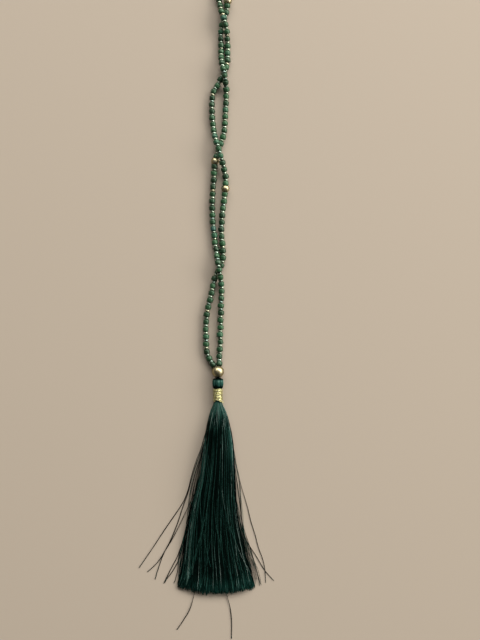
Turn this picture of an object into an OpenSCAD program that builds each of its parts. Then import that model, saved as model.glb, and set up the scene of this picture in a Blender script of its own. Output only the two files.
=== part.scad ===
// A mala laid out on a table: one loop of seed beads whose two sides twist round each other
// above a guru bead, with a silk tassel below it. Millimetres, +Z up, the surface at Z = 0.
// The tassel points to -Y and the open part of the loop to +Y.
// The origin is at the middle of the whole outline, on the surface.

/* [Strands] */
// Diameter of the seed beads, and so of each strand
strand_d = 3; // [2.6:0.1:3]
// Diameter of the thread that the beads are strung on
thread_d = 0.6; // [0.4:0.1:0.6]

/* [Gold beads] */
// Diameter of a gold bead
gold_bead_d = 4; // [3.8:0.1:4]
// Length of a gold bead along the thread
gold_bead_len = 3; // [2.8:0.1:3.4]
// Bore of a gold bead
gold_bore_d = 1; // [0.9:0.1:1.4]
// Diameter of the guru bead, which gathers both strands
guru_d = 6; // [5.8:0.1:6]
// Length of the guru bead along its bore
guru_len = 5.4; // [5:0.1:5.4]
// Bore of the guru bead
guru_bore_d = 1.8; // [1.8:0.1:2.4]

/* [Tassel] */
// Diameter of the tassel's silk-wrapped head
head_d = 5.6; // [5.2:0.1:5.8]
// Length of the head
head_len = 4.8; // [4:0.1:5]
// Diameter of the neck that the gold thread binds
neck_d = 3.6; // [3.2:0.1:3.6]
// Diameter of the cord that holds the head to the guru bead
stem_d = 1.2; // [0.8:0.1:1.2]
// Diameter of the knot between the head and the guru bead
knot_d = 2.8; // [2:0.1:3]
// Outer diameter of the wound gold thread
binding_d = 5; // [4.6:0.1:5]
// Length of the winding along the neck
binding_len = 6.8; // [6:0.1:7]
// Turns of gold thread in the winding
binding_turns = 12; // [8:1:14]
// Length of the silk skirt below the neck
skirt_len = 95.5; // [80:0.5:110]
// Locks across the skirt
locks = 15; // [9:1:19]
// How far the notches between the locks' tips reach up
notch = 2.5; // [0:0.5:4]

/* [Hidden] */
$fn = 48;

// What a point of a strand's route is
THREAD = 0;
STRING = 1;
GOLD = 2;

// Each route starts inside the guru bead and ends at the loop's far end.
// Its columns are X, Y and Z in millimetres from the guru bead's foot, and what is there.
right_route = [
    [0.4, 0.3, 3, THREAD],
    [0.4, 3, 3, THREAD],
    [0.5, 3.9, 2.2, STRING],
    [0.7, 7.5, 1.6, STRING],
    [1, 11.5, 1.5, STRING],
    [1, 18.5, 1.5, STRING],
    [1.3, 25.5, 1.5, STRING],
    [1.4, 33, 1.5, STRING],
    [1.8, 40, 1.5, STRING],
    [1.5, 44, 2.4, STRING],
    [1.1, 47.5, 4, STRING],
    [0.5, 51, 4.8, STRING],
    [-0.1, 55, 4, STRING],
    [-0.7, 58.5, 2.7, STRING],
    [-1.2, 62, 1.8, STRING],
    [-1.9, 68, 1.5, STRING],
    [-2.7, 75, 1.5, STRING],
    [-2.9, 82, 1.5, STRING],
    [-2.7, 89, 1.5, STRING],
    [-2.2, 96, 1.5, STRING],
    [-1.9, 101.5, 1.7, STRING],
    [-1.5, 105.3, 2, GOLD],
    [-0.6, 108.5, 1.6, STRING],
    [1.2, 113.5, 1.5, STRING],
    [3.1, 120.5, 1.5, STRING],
    [3.5, 127.5, 1.5, STRING],
    [3.9, 134.5, 1.5, STRING],
    [4, 141, 1.9, STRING],
    [3.6, 145.5, 3.9, STRING],
    [3, 149.5, 4.8, STRING],
    [2.2, 153, 4.3, STRING],
    [1.7, 156.5, 2.8, STRING],
    [1.5, 160.5, 1.6, STRING],
    [1.4, 166, 1.5, STRING],
    [1.4, 170.5, 1.5, STRING],
    [2, 174, 1.5, STRING],
    [3.2, 177.5, 1.5, STRING],
    [4.3, 181.5, 1.6, STRING],
    [4.8, 186, 2, GOLD],
    [6.2, 192, 1.5, STRING],
    [11, 204, 1.5, STRING],
    [18, 219, 1.5, STRING],
    [25.5, 235, 1.5, STRING],
    [33, 251, 1.5, STRING],
    [40, 266, 1.5, STRING],
    [45.5, 280, 2, GOLD],
    [49.5, 290, 1.5, STRING],
    [51, 302, 1.5, STRING],
    [49.5, 314, 1.5, STRING],
    [43, 327.5, 1.5, STRING],
    [32, 339, 1.5, STRING],
    [18, 346, 1.5, STRING],
    [9, 347.9, 1.7, STRING],
    [5, 348, 2, STRING],
    [4.8, 348, 2, THREAD],
    [3.1, 348, 2, THREAD]
];
left_route = [
    [-0.4, 0.3, 3, THREAD],
    [-0.4, 2.8, 3, THREAD],
    [-1.2, 3.3, 2.6, THREAD],
    [-2.4, 3.4, 2, STRING],
    [-4.5, 6.8, 1.6, STRING],
    [-5.8, 10.5, 1.5, STRING],
    [-6, 17.5, 1.5, STRING],
    [-6, 25, 1.5, STRING],
    [-5.1, 32, 1.5, STRING],
    [-3.2, 39.5, 1.5, STRING],
    [-1.7, 46.5, 1.5, STRING],
    [0.3, 50.5, 1.5, STRING],
    [2.1, 54.5, 1.5, STRING],
    [2.4, 61, 1.5, STRING],
    [1.8, 67.5, 1.5, STRING],
    [1.8, 74.5, 1.5, STRING],
    [2.4, 81.5, 1.5, STRING],
    [3.2, 87.5, 1.6, STRING],
    [3.7, 91.5, 2, GOLD],
    [3.9, 95.5, 1.6, STRING],
    [3.2, 100, 2.2, STRING],
    [2.2, 104, 3.6, STRING],
    [1.3, 107.5, 4.6, STRING],
    [0.3, 111.5, 4.8, STRING],
    [-0.8, 115, 4, STRING],
    [-1.8, 118.5, 2.4, STRING],
    [-2.4, 122, 1.6, STRING],
    [-3, 127.5, 1.5, STRING],
    [-3.1, 134, 1.5, STRING],
    [-2.4, 140, 1.5, STRING],
    [-0.4, 143.5, 1.5, STRING],
    [1.6, 147, 1.5, STRING],
    [3.5, 150.5, 1.5, STRING],
    [4.7, 156, 1.5, STRING],
    [4.8, 162.5, 1.7, STRING],
    [4.5, 167.5, 2.7, STRING],
    [4.2, 171, 3.8, STRING],
    [3.5, 174.5, 4.8, STRING],
    [2.4, 178, 4.5, STRING],
    [1.3, 181.5, 3.6, STRING],
    [0.6, 185.5, 2, STRING],
    [0, 189.5, 1.7, STRING],
    [-0.9, 193, 2, GOLD],
    [-4.5, 202, 1.5, STRING],
    [-12, 219, 1.5, STRING],
    [-19.5, 235, 1.5, STRING],
    [-27, 251, 1.5, STRING],
    [-34, 266, 1.5, STRING],
    [-39.5, 280, 1.5, STRING],
    [-42.5, 287.5, 2, GOLD],
    [-45, 302, 1.5, STRING],
    [-43.5, 314, 1.5, STRING],
    [-37, 327.5, 1.5, STRING],
    [-26, 339, 1.5, STRING],
    [-12, 346, 1.5, STRING],
    [-3, 347.9, 1.7, STRING],
    [1, 348, 2, STRING],
    [1.2, 348, 2, THREAD],
    [2.9, 348, 2, THREAD]
];

// The far end's gold bead holds the ends of both strands
far_bead = [3, 348, 2];
tube_sides = 8;
// Room between the ends of a strand's beads and the gold bead beside them
bead_gap = 0.2;
// Length over which a strand narrows to its thread
strand_step = 0.2;

// Room between the guru bead and the tassel's head, where the cord's knot shows
knot_room = 0.7;
// Room between the knot and the guru bead
knot_gap = 0.15;
// Room between neighbouring pieces along the tassel, and between the ends inside the guru bead
piece_gap = 0.3;
// Room between the neck and the winding round it
winding_gap = 0.15;
// Overlap that joins the skirt and the cord to the head and neck
fuse = 0.4;

// Places along the tassel, from the guru bead's middle towards -Y
head_y = -guru_len / 2 - knot_room;
neck_y = head_y - head_len;
binding_y = neck_y - piece_gap;
skirt_y = binding_y - binding_len - piece_gap;
tip_y = skirt_y - skirt_len;
guru_z = guru_d / 2;
head_z = head_d / 2;
// Radius at the ends of the head's swell
head_end_r = neck_d / 2 + 0.4;

// The guru bead's foot, from the middle of the whole outline
guru_x = -far_bead.x;
guru_y = -(far_bead.y + gold_bead_d / 2 + tip_y) / 2;

// The skirt's sections. Columns: share of the skirt's length below the neck, left edge, right edge,
// underside, height of the edges, top, and how deep the grooves between the locks are.
skirt_rows = [
    [-fuse / skirt_len, -1.2, 1.3, 1.4, 2.6, 3.9, 0],
    [0.015, -2.3, 2.6, 0.9, 2.6, 4.6, 0.1],
    [0.06, -3.8, 4.9, 0.3, 2, 5.4, 0.15],
    [0.135, -5.8, 6.6, 0, 1.4, 6.4, 0.2],
    [0.21, -7.4, 7.8, 0, 1.1, 7, 0.25],
    [0.355, -10.8, 9.2, 0, 0.9, 7, 0.3],
    [0.5, -14, 10.4, 0, 0.8, 6.3, 0.35],
    [0.65, -16.4, 12.4, 0, 0.7, 5.4, 0.4],
    [0.79, -18.8, 15, 0, 0.6, 4.4, 0.45],
    [0.87, -20, 17, 0, 0.6, 3.6, 0.5],
    [1, -20.8, 18.4, 0, 0.5, 2.4, 0.6]
];
LEFT = 1;
RIGHT = 2;
UNDERSIDE = 3;
EDGE = 4;
TOP = 5;
GROOVE = 6;
columns_per_lock = 4;
skirt_columns = locks * columns_per_lock;
// How much shorter the skirt is at its two sides, and how much the locks differ in length
side_rise = 3.6;
lock_spread = 1.8;
lock_spread_step = 137;

silk = "#1f4d40";
gold = "#d9c78a";
bead_green = "#3b6245";
gold_thread = "#dad499";

function unit(v) = v / norm(v);
function place(row) = [row[0], row[1], row[2]];
function heading(route, i) =
    unit(place(route[min(i + 1, len(route) - 1)]) - place(route[max(i - 1, 0)]));

// The rings of one route point: one where the strand or its thread goes on, and four at a gold bead
function rings_at(route, i) =
    let (p = place(route[i]), t = heading(route, i), kind = route[i][3])
    let (face = gold_bead_len / 2 + bead_gap)
    kind == THREAD ? [[p, t, thread_d / 2]] :
    kind == STRING ? [[p, t, strand_d / 2]] :
    [
        [p - t * (face + strand_step), t, strand_d / 2],
        [p - t * face, t, thread_d / 2],
        [p + t * face, t, thread_d / 2],
        [p + t * (face + strand_step), t, strand_d / 2]
    ];

// One tube swept through rings, each given by its middle, its direction and its radius
module swept_tube(rings) {
    n = tube_sides;
    last = (len(rings) - 1) * n;
    points = [
        for (ring = rings)
            let (side = unit(cross(ring[1], [0, 0, 1])), up = cross(side, ring[1]))
            for (k = [0:n - 1])
                let (a = k * 360 / n)
                ring[0] + ring[2] * (cos(a) * side + sin(a) * up)
    ];
    walls = [
        for (j = [0:len(rings) - 2], k = [0:n - 1])
            let (a = j * n + k, b = j * n + (k + 1) % n)
            each [[a, b, b + n], [a, b + n, a + n]]
    ];
    polyhedron(points, concat(walls, [[for (k = [n - 1:-1:0]) k], [for (k = [0:n - 1]) last + k]]));
}

module strand(route) {
    color(bead_green)
        at_guru()
            swept_tube([for (i = [0:len(route) - 1]) each rings_at(route, i)]);
}

module at_guru() {
    translate([guru_x, guru_y, 0]) children();
}

// Turns what was made along Z so that its top points to +Y
module turned_to_y() {
    rotate([-90, 0, 0]) children();
}

// A round bead with flat ends, drilled along Z
module drilled_bead(d, length, bore) {
    difference() {
        intersection() {
            sphere(d = d);
            cube([d * 2, d * 2, length], center = true);
        }
        cylinder(d = bore, h = d * 2, center = true);
    }
}

// Turns a piece made along Z so that it points along a direction in the route
module along(direction) {
    rotate([0, acos(direction.z), atan2(direction.y, direction.x)]) children();
}

module gold_bead(p, direction) {
    color(gold)
        at_guru()
            translate([p.x, p.y, gold_bead_d / 2])
                along(direction)
                    drilled_bead(gold_bead_d, gold_bead_len, gold_bore_d);
}

gold_rows = [
    for (route = [right_route, left_route])
        for (i = [0:len(route) - 1])
            if (route[i][3] == GOLD) [place(route[i]), heading(route, i)]
];

module right_strand() strand(right_route);
module left_strand() strand(left_route);
module gold_bead_1() gold_bead(gold_rows[0][0], gold_rows[0][1]);
module gold_bead_2() gold_bead(gold_rows[1][0], gold_rows[1][1]);
module gold_bead_3() gold_bead(gold_rows[2][0], gold_rows[2][1]);
module gold_bead_4() gold_bead(gold_rows[3][0], gold_rows[3][1]);
module gold_bead_5() gold_bead(gold_rows[4][0], gold_rows[4][1]);
module gold_bead_6() gold_bead(gold_rows[5][0], gold_rows[5][1]);
module gold_bead_7() gold_bead(far_bead, [1, 0, 0]);

module guru_bead() {
    color(gold)
        at_guru()
            translate([0, 0, guru_z])
                turned_to_y()
                    drilled_bead(guru_d, guru_len, guru_bore_d);
}

// Section of the head and neck, with X as the radius and Y as the height towards the guru bead
module head_section() {
    swell = head_d / 2 - head_end_r;
    steps = 12;
    polygon(concat(
        [[0, skirt_y], [neck_d / 2, skirt_y], [neck_d / 2, neck_y]],
        [
            for (k = [0:steps])
                let (a = 180 * k / steps)
                [head_end_r + swell * sqrt(max(0, sin(a))), neck_y + head_len * k / steps]
        ],
        [[0, head_y]]
    ));
}

function dome(u) = sqrt(max(0, 1 - (2 * u - 1) ^ 2));
function crest(u) = abs(sin(180 * u * locks));
function lock_end(u) =
    skirt_len - side_rise * (2 * u - 1) ^ 2 - notch * (1 - crest(u))
    - lock_spread / 2 * (1 - sin(lock_spread_step * floor(min(u * locks, locks - 1))));

// How far below the neck a point of the skirt lies: the last row ends in the locks' tips
function skirt_reach(j, u) = j == len(skirt_rows) - 1 ? lock_end(u) : skirt_rows[j][0] * skirt_len;
function skirt_top(row, u) =
    row[EDGE] + (row[TOP] - row[EDGE]) * dome(u) * (1 - row[GROOVE] * (1 - crest(u)));
function skirt_underside(row, u) =
    row[UNDERSIDE] + (row[EDGE] - row[UNDERSIDE]) * max(0, 1 - 2 * dome(u));
function skirt_point(j, u, is_top) =
    let (row = skirt_rows[j])
    [
        row[LEFT] + (row[RIGHT] - row[LEFT]) * u,
        skirt_y - skirt_reach(j, u),
        is_top ? skirt_top(row, u) : skirt_underside(row, u)
    ];

module skirt() {
    n = skirt_columns;
    ring = 2 * n;
    rows = len(skirt_rows);
    points = [
        for (j = [0:rows - 1]) each concat(
            [for (k = [0:n]) skirt_point(j, k / n, true)],
            [for (k = [n - 1:-1:1]) skirt_point(j, k / n, false)]
        )
    ];
    walls = [
        for (j = [0:rows - 2], k = [0:ring - 1])
            let (a = j * ring + k, b = j * ring + (k + 1) % ring)
            each [[a, b, b + ring], [a, b + ring, a + ring]]
    ];
    // Each end is closed by a strip between the top and the underside
    ends = [
        for (k = [0:n - 1])
            let (top = [k, k + 1], low = [(ring - k) % ring, ring - k - 1], end = (rows - 1) * ring)
            each [
                if (k > 0) [top[0], low[0], low[1]],
                if (k < n - 1) [top[0], low[1], top[1]],
                if (k > 0) [end + low[0], end + top[0], end + low[1]],
                if (k < n - 1) [end + low[1], end + top[0], end + top[1]]
            ]
    ];
    polyhedron(points, concat(walls, ends));
}

module silk_tassel() {
    color(silk)
        at_guru()
            union() {
                translate([0, 0, head_z])
                    turned_to_y()
                        rotate_extrude()
                            head_section();
                translate([0, head_y - fuse, guru_z])
                    turned_to_y()
                        union() {
                            cylinder(d = stem_d, h = fuse - head_y - piece_gap);
                            cylinder(d = knot_d, h = fuse + knot_room - knot_gap);
                        }
                skirt();
            }
}

// The winding's section, with X as the radius: a thin wall with a round ridge for each turn
module binding_section() {
    turn_d = binding_len / binding_turns;
    wall_r = neck_d / 2 + winding_gap;
    ridge_r = binding_d / 2 - turn_d / 2;
    intersection() {
        union() {
            translate([wall_r, -binding_len])
                square([ridge_r - wall_r, binding_len]);
            for (k = [0:binding_turns - 1])
                translate([ridge_r, -turn_d * (k + 0.5)])
                    circle(d = turn_d);
        }
        translate([wall_r, -binding_len])
            square([binding_d, binding_len]);
    }
}

module gold_binding() {
    color(gold_thread)
        at_guru()
            translate([0, binding_y, head_z])
                turned_to_y()
                    rotate_extrude()
                        binding_section();
}

right_strand();
left_strand();
gold_bead_1();
gold_bead_2();
gold_bead_3();
gold_bead_4();
gold_bead_5();
gold_bead_6();
gold_bead_7();
guru_bead();
silk_tassel();
gold_binding();
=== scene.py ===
"""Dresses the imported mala: strung seed beads, gold beads, and a silk tassel with its gold winding."""

import math

import bmesh
import bpy
import numpy as np
from mathutils import Matrix, Vector


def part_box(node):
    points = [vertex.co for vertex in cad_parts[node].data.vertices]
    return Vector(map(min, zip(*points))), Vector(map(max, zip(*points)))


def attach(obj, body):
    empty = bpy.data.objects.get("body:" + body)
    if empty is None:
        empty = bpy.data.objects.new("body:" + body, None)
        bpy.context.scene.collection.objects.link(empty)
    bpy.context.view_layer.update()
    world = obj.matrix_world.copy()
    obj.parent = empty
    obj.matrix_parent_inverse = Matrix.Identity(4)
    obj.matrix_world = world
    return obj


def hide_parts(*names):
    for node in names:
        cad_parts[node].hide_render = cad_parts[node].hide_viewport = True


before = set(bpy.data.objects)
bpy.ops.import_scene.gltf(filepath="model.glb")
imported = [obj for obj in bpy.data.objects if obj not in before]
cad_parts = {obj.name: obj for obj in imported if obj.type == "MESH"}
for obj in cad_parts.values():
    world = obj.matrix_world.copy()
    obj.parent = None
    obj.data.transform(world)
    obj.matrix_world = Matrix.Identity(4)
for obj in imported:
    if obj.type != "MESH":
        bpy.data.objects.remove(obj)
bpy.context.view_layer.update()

MM = 0.001
# All that is drawn at random comes from this one seed, in the order in which the pieces are made
rng = np.random.default_rng(108)

# Places, in millimetres from the guru bead's foot.

guru_low, guru_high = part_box("guru_bead")
guru_foot = np.array([(guru_low.x + guru_high.x) / 2, (guru_low.y + guru_high.y) / 2, 0])
GURU_DIAMETER = (guru_high.z - guru_low.z) / MM
GURU_LENGTH = (guru_high.y - guru_low.y) / MM
GURU_BORE = 1.8
GURU_Z = GURU_DIAMETER / 2

# The photo's frame, and the pixel where the guru bead's middle lies
PHOTO_WIDTH = 480
PHOTO_HEIGHT = 640
PHOTO_MM_PER_PIXEL = 0.5
PHOTO_GURU_X = 218
PHOTO_GURU_Y = 371.5

# What a point of a strand's route is
THREAD = 0
STRING = 1
GOLD = 2

# The routes of the two strands, as they lie in the CAD model: X, Y, Z and what is there
RIGHT_ROUTE = [
    (0.4, 0.3, 3, THREAD), (0.4, 3, 3, THREAD), (0.5, 3.9, 2.2, STRING), (0.7, 7.5, 1.6, STRING),
    (1, 11.5, 1.5, STRING), (1, 18.5, 1.5, STRING), (1.3, 25.5, 1.5, STRING),
    (1.4, 33, 1.5, STRING), (1.8, 40, 1.5, STRING), (1.5, 44, 2.4, STRING),
    (1.1, 47.5, 4, STRING), (0.5, 51, 4.8, STRING), (-0.1, 55, 4, STRING),
    (-0.7, 58.5, 2.7, STRING), (-1.2, 62, 1.8, STRING), (-1.9, 68, 1.5, STRING),
    (-2.7, 75, 1.5, STRING), (-2.9, 82, 1.5, STRING), (-2.7, 89, 1.5, STRING),
    (-2.2, 96, 1.5, STRING), (-1.9, 101.5, 1.7, STRING), (-1.5, 105.3, 2, GOLD),
    (-0.6, 108.5, 1.6, STRING), (1.2, 113.5, 1.5, STRING), (3.1, 120.5, 1.5, STRING),
    (3.5, 127.5, 1.5, STRING), (3.9, 134.5, 1.5, STRING), (4, 141, 1.9, STRING),
    (3.6, 145.5, 3.9, STRING), (3, 149.5, 4.8, STRING), (2.2, 153, 4.3, STRING),
    (1.7, 156.5, 2.8, STRING), (1.5, 160.5, 1.6, STRING), (1.4, 166, 1.5, STRING),
    (1.4, 170.5, 1.5, STRING), (2, 174, 1.5, STRING), (3.2, 177.5, 1.5, STRING),
    (4.3, 181.5, 1.6, STRING), (4.8, 186, 2, GOLD), (6.2, 192, 1.5, STRING),
    (11, 204, 1.5, STRING), (18, 219, 1.5, STRING), (25.5, 235, 1.5, STRING),
    (33, 251, 1.5, STRING), (40, 266, 1.5, STRING), (45.5, 280, 2, GOLD),
    (49.5, 290, 1.5, STRING), (51, 302, 1.5, STRING), (49.5, 314, 1.5, STRING),
    (43, 327.5, 1.5, STRING), (32, 339, 1.5, STRING), (18, 346, 1.5, STRING),
    (9, 347.9, 1.7, STRING), (5, 348, 2, STRING), (4.8, 348, 2, THREAD), (3.1, 348, 2, THREAD),
]
LEFT_ROUTE = [
    (-0.4, 0.3, 3, THREAD), (-0.4, 2.8, 3, THREAD), (-1.2, 3.3, 2.6, THREAD),
    (-2.4, 3.4, 2, STRING), (-4.5, 6.8, 1.6, STRING), (-5.8, 10.5, 1.5, STRING),
    (-6, 17.5, 1.5, STRING), (-6, 25, 1.5, STRING), (-5.1, 32, 1.5, STRING),
    (-3.2, 39.5, 1.5, STRING), (-1.7, 46.5, 1.5, STRING), (0.3, 50.5, 1.5, STRING),
    (2.1, 54.5, 1.5, STRING), (2.4, 61, 1.5, STRING), (1.8, 67.5, 1.5, STRING),
    (1.8, 74.5, 1.5, STRING), (2.4, 81.5, 1.5, STRING), (3.2, 87.5, 1.6, STRING),
    (3.7, 91.5, 2, GOLD), (3.9, 95.5, 1.6, STRING), (3.2, 100, 2.2, STRING),
    (2.2, 104, 3.6, STRING), (1.3, 107.5, 4.6, STRING), (0.3, 111.5, 4.8, STRING),
    (-0.8, 115, 4, STRING), (-1.8, 118.5, 2.4, STRING), (-2.4, 122, 1.6, STRING),
    (-3, 127.5, 1.5, STRING), (-3.1, 134, 1.5, STRING), (-2.4, 140, 1.5, STRING),
    (-0.4, 143.5, 1.5, STRING), (1.6, 147, 1.5, STRING), (3.5, 150.5, 1.5, STRING),
    (4.7, 156, 1.5, STRING), (4.8, 162.5, 1.7, STRING), (4.5, 167.5, 2.7, STRING),
    (4.2, 171, 3.8, STRING), (3.5, 174.5, 4.8, STRING), (2.4, 178, 4.5, STRING),
    (1.3, 181.5, 3.6, STRING), (0.6, 185.5, 2, STRING), (0, 189.5, 1.7, STRING),
    (-0.9, 193, 2, GOLD), (-4.5, 202, 1.5, STRING), (-12, 219, 1.5, STRING),
    (-19.5, 235, 1.5, STRING), (-27, 251, 1.5, STRING), (-34, 266, 1.5, STRING),
    (-39.5, 280, 1.5, STRING), (-42.5, 287.5, 2, GOLD), (-45, 302, 1.5, STRING),
    (-43.5, 314, 1.5, STRING), (-37, 327.5, 1.5, STRING), (-26, 339, 1.5, STRING),
    (-12, 346, 1.5, STRING), (-3, 347.9, 1.7, STRING), (1, 348, 2, STRING),
    (1.2, 348, 2, THREAD), (2.9, 348, 2, THREAD),
]
# The gold bead at the loop's far end, where the two strands meet
FAR_BEAD = (3, 348, 2)

# Seed beads in each run, from the guru bead on, between one gold bead and the next
RIGHT_RUNS = (29, 24, 27, 27)
LEFT_RUNS = (25, 30, 27, 27)
# How far a run's beads have slid from even spacing, in millimetres, at even steps along the run
UNMOVED = (0, 0)
RIGHT_SLIPS = (
    (-0.1, 0.1, 0.3, 0.5, 1, 1.1, 0.5, 0.35, 0),
    (-0.2, 0, 0.2, 0.1, 0.5, 0.4, 0, 0, 0),
    UNMOVED, UNMOVED)
LEFT_SLIPS = (
    (0.1, 0.2, 0.35, 0.45, 0.4, 0.75, 0.6, 0.15, -0.2),
    (0, 0.25, 0.6, -0.45, -0.85, -0.95, -0.75, -0.75, 0),
    UNMOVED, UNMOVED)
# How far the first seed bead's near end lies before the route's first STRING point
RIGHT_LEAD = 1.0
LEFT_LEAD = 1.2

SEED_DIAMETER = 3.3
SEED_LENGTH = 2.25
SEED_HOLE = 1.0
SPACER_DIAMETER = 2.5
SPACER_LENGTH = 1.35
SPACER_HOLE = 0.8
PITCH = SEED_LENGTH + SPACER_LENGTH
THREAD_DIAMETER = 0.6
GOLD_DIAMETER = 4.0
GOLD_LENGTH = 3.0
GOLD_BORE = 1.0
GOLD_CLEARANCE = 0.02

# The tassel, from the guru bead's middle towards -Y
KNOT_ROOM = 0.7
PIECE_GAP = 0.3
HEAD_TOP = -GURU_LENGTH / 2 - KNOT_ROOM
HEAD_LENGTH = 4.8
HEAD_RADIUS = 2.8
HEAD_Z = 2.8
HEAD_END_RADIUS = 2.2
KNOT_RADIUS = 1.6
KNOT_LENGTH = 0.55
NECK_RADIUS = 1.8
NECK_TOP = HEAD_TOP - HEAD_LENGTH
BINDING_TOP = NECK_TOP - PIECE_GAP
BINDING_LENGTH = 6.8
BINDING_RADIUS = 2.5
SKIRT_TOP = BINDING_TOP - BINDING_LENGTH - PIECE_GAP
SKIRT_LENGTH = 95.5
LOCKS = 15
# How much shorter the skirt is at its left corner and at its right one
SIDE_RISES = (3.8, 2.4)
# How far the dense silk draws in from the left edge and from the right one, as shares of the
# skirt's width, at a share of its length; below 0 it swells out
DRAWN_IN_ROWS = np.array([
    (0, 0, 0),
    (0.015, -0.1, -0.03),
    (0.06, -0.057, 0.03),
    (0.12, -0.03, 0.025),
    (0.16, -0.012, 0.015),
    (0.2, 0.018, 0.012),
    (0.28, 0.09, 0.03),
    (0.36, 0.122, 0.038),
    (0.44, 0.1, 0.048),
    (0.52, 0.062, 0.06),
    (0.6, 0.044, 0.055),
    (0.7, 0.038, 0.036),
    (0.8, 0.055, 0.028),
    (0.87, 0.055, 0.015),
    (0.93, 0.03, 0.005),
    (0.96, -0.012, 0),
    (1, -0.02, 0),
])

# The skirt's sections: share of its length, left edge, right edge, underside, height of the
# edges, top, and how deep the grooves between the locks are. The first two lie in the winding.
SKIRT_ROWS = np.array([
    (-0.045, -1.6, 1.6, 1.05, 2.65, 4.25, 0),
    (-0.004, -1.7, 1.75, 1.0, 2.65, 4.4, 0),
    (0.015, -2.3, 2.6, 0.9, 2.6, 4.7, 0.1),
    (0.06, -3.8, 4.9, 0.3, 2, 5.4, 0.15),
    (0.135, -5.8, 6.6, 0, 1.4, 6.4, 0.2),
    (0.21, -7.4, 7.8, 0, 1.1, 7, 0.25),
    (0.355, -10.8, 9.2, 0, 0.9, 7, 0.3),
    (0.5, -14, 10.4, 0, 0.8, 6.3, 0.35),
    (0.65, -16.4, 12.4, 0, 0.7, 5.4, 0.4),
    (0.79, -18.8, 15, 0, 0.6, 4.4, 0.45),
    (0.87, -20, 17, 0, 0.6, 3.6, 0.5),
    (1, -20.8, 18.4, 0, 0.5, 2.4, 0.6),
])

# Stray threads beside the skirt, as pixels of the photo from root to tip
STRAYS = {
    "left_long": [(211, 417), (204.5, 436), (200.5, 450), (196, 461), (191.3, 476.5), (187.5, 491.8),
                  (182.2, 503.8), (165.1, 529), (153.1, 547.3), (139.1, 567.6)],
    "left_bowed": [(212, 420), (205, 440), (201, 452), (196.4, 463), (191.7, 478), (188, 493), (183.1, 506),
                   (178, 522), (170.7, 540), (163.4, 554), (158.7, 567.4), (156.7, 573.6), (155.3, 578.9)],
    "left_short": [(198, 486), (189, 505), (176, 532), (165.2, 550.5), (159.7, 559.4), (154.6, 565.3),
                   (147.6, 571.5)],
    "left_low": [(199, 490), (190, 510), (183.5, 538), (177.6, 556), (174.8, 561.5), (169.6, 571.5),
                 (163.9, 583)],
    "left_low_second": [(197, 500), (189, 518), (183, 545), (179, 559), (176.6, 564), (172, 572),
                        (166.2, 579.4), (165, 582)],
    "left_near": [(192, 515), (185.5, 535), (180.5, 550), (178.3, 560), (178, 569), (175.4, 579.3),
                  (174, 583)],
    "right_long": [(228, 430), (234, 450), (236.6, 465.9), (240.8, 484.2), (247.4, 506.6), (250.8, 521),
                   (255.2, 534.6), (258.4, 547.2), (262.5, 558), (265, 569.4), (265.7, 582.3)],
    "right_near": [(228, 438), (233, 453), (236.5, 466), (239.3, 478), (240.4, 491), (241, 506), (242, 520),
                   (244.4, 534), (247.4, 544), (250, 556)],
    "right_wide": [(236, 500), (241, 525), (246.4, 540.3), (256.2, 555.7), (264.6, 569.7), (273.8, 580.2)],
    "right_short": [(235, 494), (239, 510), (245, 532), (250.6, 548.7), (256.2, 568.3), (260.4, 583.7)],
    "end_left": [(196, 580), (194.5, 592), (190.3, 607.6), (183.3, 620), (177, 629)],
    "end_right": [(226, 582), (226.8, 594), (230.3, 607.6), (231.7, 622), (231.5, 638)],
}


def in_frame(places):
    """Turns places in millimetres from the guru bead's foot into the frame's metres."""
    return guru_foot + np.asarray(places, float) * MM


def photo_place(pixel):
    """The place of a photo pixel, in millimetres right of and above the guru bead's foot."""
    x = (pixel[0] - PHOTO_GURU_X) * PHOTO_MM_PER_PIXEL
    y = (PHOTO_GURU_Y - pixel[1]) * PHOTO_MM_PER_PIXEL
    return x, y


def unit(vectors):
    """The same directions, each with a length of one."""
    return vectors / np.linalg.norm(vectors, axis=-1, keepdims=True)


def linear(hex_colour):
    """An sRGB hex colour as linear red, green, blue and alpha."""
    channels = [int(hex_colour[i:i + 2], 16) / 255 for i in (1, 3, 5)]
    return [c / 12.92 if c <= 0.04045 else ((c + 0.055) / 1.055) ** 2.4 for c in channels] + [1]


def add_node(material, kind, inputs=None, **settings):
    """Adds a node with its settings; an input is a value, or another node's output."""
    tree = material.node_tree
    node = tree.nodes.new(kind)
    for key, value in settings.items():
        setattr(node, key, value)
    for key, value in (inputs or {}).items():
        if isinstance(value, bpy.types.NodeSocket):
            tree.links.new(value, node.inputs[key])
        else:
            node.inputs[key].default_value = value
    return node


# Camera and light.

# The camera's distance in metres, and the width of its sensor in millimetres
CAMERA_DISTANCE = 0.55
CAMERA_ELEVATION = math.radians(89)
SENSOR = 36


def add_camera():
    """A camera above the mala, tipped a little towards the tassel as in the photo."""
    x, y = photo_place((PHOTO_WIDTH / 2, PHOTO_HEIGHT / 2))
    target = Vector(in_frame((x, y, SEED_DIAMETER / 2)))
    back = Vector((0, -math.cos(CAMERA_ELEVATION), math.sin(CAMERA_ELEVATION)))
    bpy.ops.object.camera_add(location=target + back * CAMERA_DISTANCE)
    camera = bpy.context.object
    camera.rotation_euler = (-back).to_track_quat("-Z", "Y").to_euler()
    camera.data.sensor_width = SENSOR
    half_height = PHOTO_HEIGHT * PHOTO_MM_PER_PIXEL * MM / 2
    camera.data.lens = SENSOR / 2 * CAMERA_DISTANCE / half_height
    camera.data.clip_start = 0.01
    camera.data.clip_end = 10
    bpy.context.scene.camera = camera


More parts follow.
